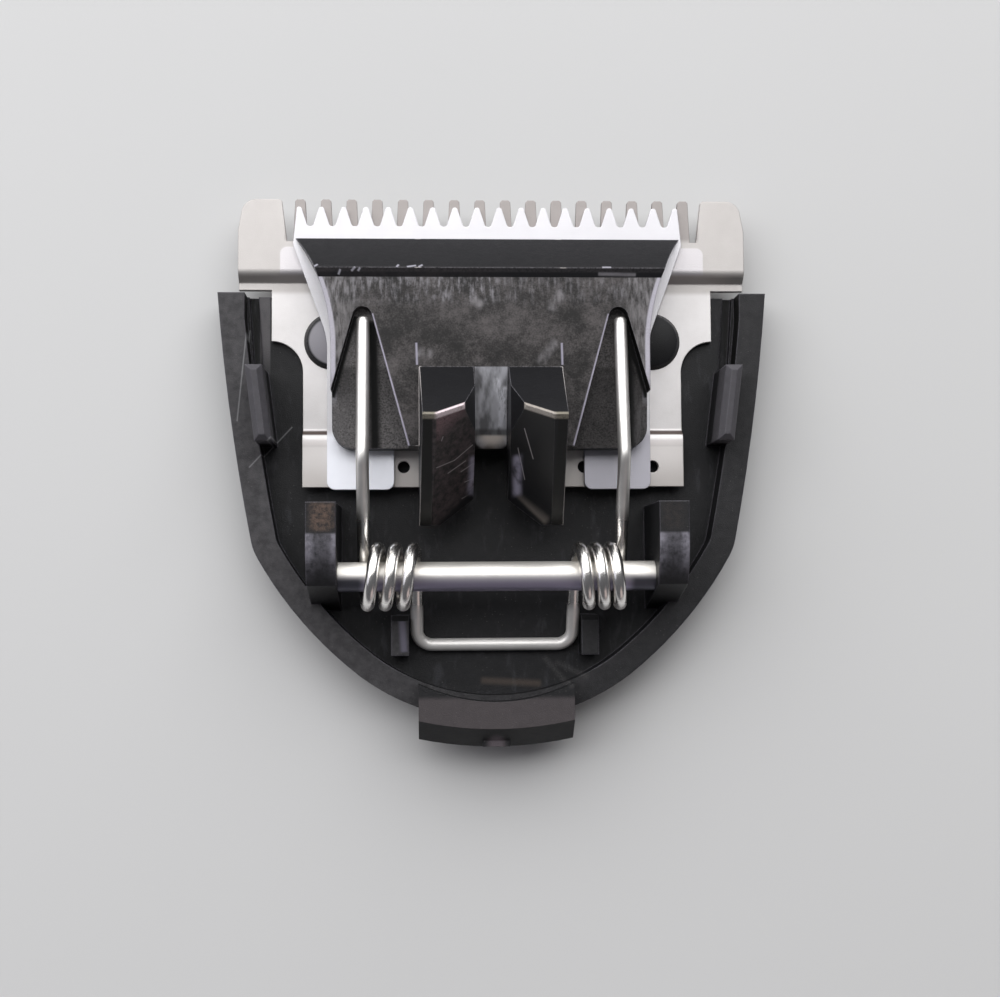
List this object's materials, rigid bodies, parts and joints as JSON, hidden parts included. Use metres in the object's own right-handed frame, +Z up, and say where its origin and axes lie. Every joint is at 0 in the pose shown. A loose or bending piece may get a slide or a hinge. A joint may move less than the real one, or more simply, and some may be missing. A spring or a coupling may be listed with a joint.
{
  "type": "hair clipper blade",
  "caption": "Clip-on trimmer blade head: steel comb and sliding cutter in a black D-shaped tray, with a forked drive carrier held down by a double torsion spring.",
  "frame": {"origin": "middle of the base, on the surface that the head lies on", "axes": "+Z up out of the open working side, +Y towards the teeth, +X to the right along the tooth row"},
  "size_m": [0.0346, 0.0346, 0.012],
  "materials": {
    "housing_plastic": "fine moulded satin",
    "comb_steel": "stamped, matte",
    "cutter_steel": "ground, bright",
    "carrier_plastic": "moulded satin with rubbed marks",
    "spring_wire": "bright drawn wire",
    "pin_steel": "ground, satin"
  },
  "bodies": {
    "head": {"housing": "housing_plastic", "fixed_blade": "comb_steel", "torsion_spring": "spring_wire", "spring_pin": "pin_steel"},
    "cutter_unit": {"cutter": "cutter_steel", "drive_carrier": "carrier_plastic"}
  },
  "joints": [
    {"name": "cutter_slide", "type": "slide", "parent": "head", "child": "cutter_unit", "axis": [1, 0, 0], "range_m": [-0.0008, 0.0014], "deforming": ["torsion_spring"]}
  ]
}
